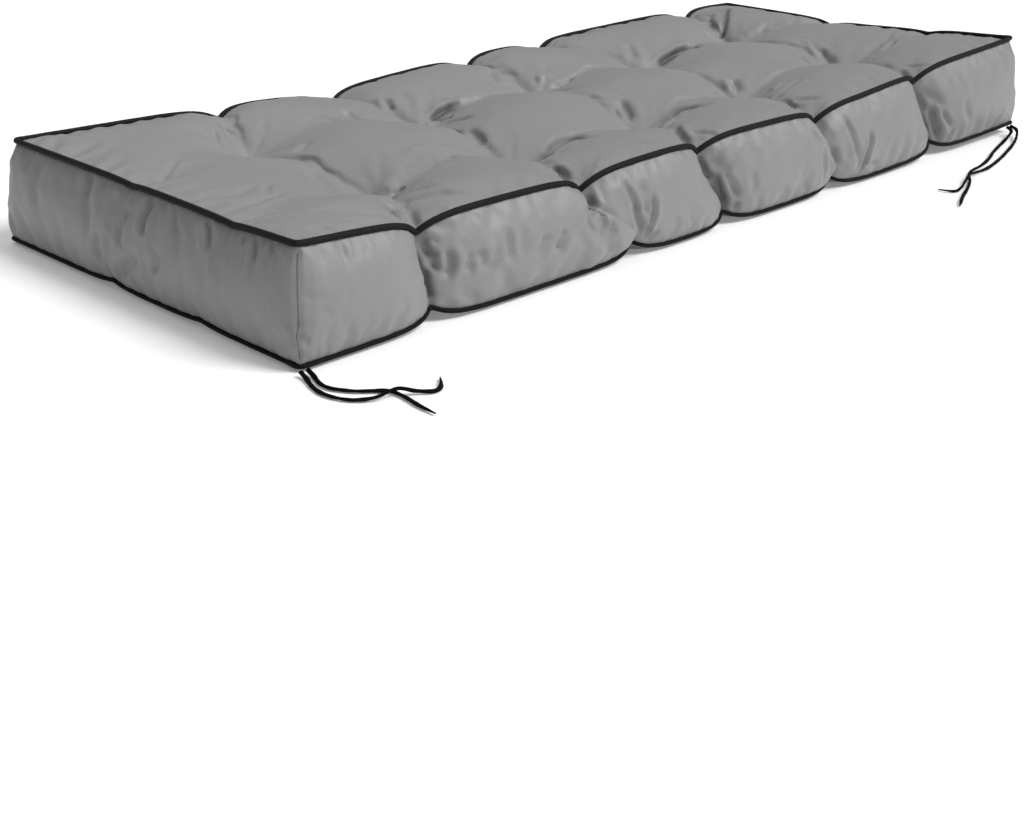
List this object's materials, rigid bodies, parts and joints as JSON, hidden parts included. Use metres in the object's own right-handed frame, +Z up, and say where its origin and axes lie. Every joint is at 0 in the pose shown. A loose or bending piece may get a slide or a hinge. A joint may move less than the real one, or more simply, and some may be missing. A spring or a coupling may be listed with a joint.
{
  "type": "pallet cushion",
  "caption": "Long boxed and tufted seat cushion with piped edges and tie cords at its front corners, for a bench made of pallets.",
  "frame": {"origin": "on the surface it rests on, under the middle of the cushion", "axes": "+X along the length, +Y from the front with the ties to the back, +Z up"},
  "size_m": [1.2454, 0.6528, 0.1331],
  "materials": {
    "cloth": "smooth tightly woven polyester with a faint sheen",
    "piping": "matt cloth tape over a cord",
    "tie": "matt folded cloth strip"
  },
  "bodies": {
    "root": {"cushion_body": "cloth", "piping_top": "piping", "piping_bottom": "piping", "tie_left_over": "tie", "tie_left_under": "tie", "tie_right_over": "tie", "tie_right_under": "tie"}
  },
  "joints": []
}
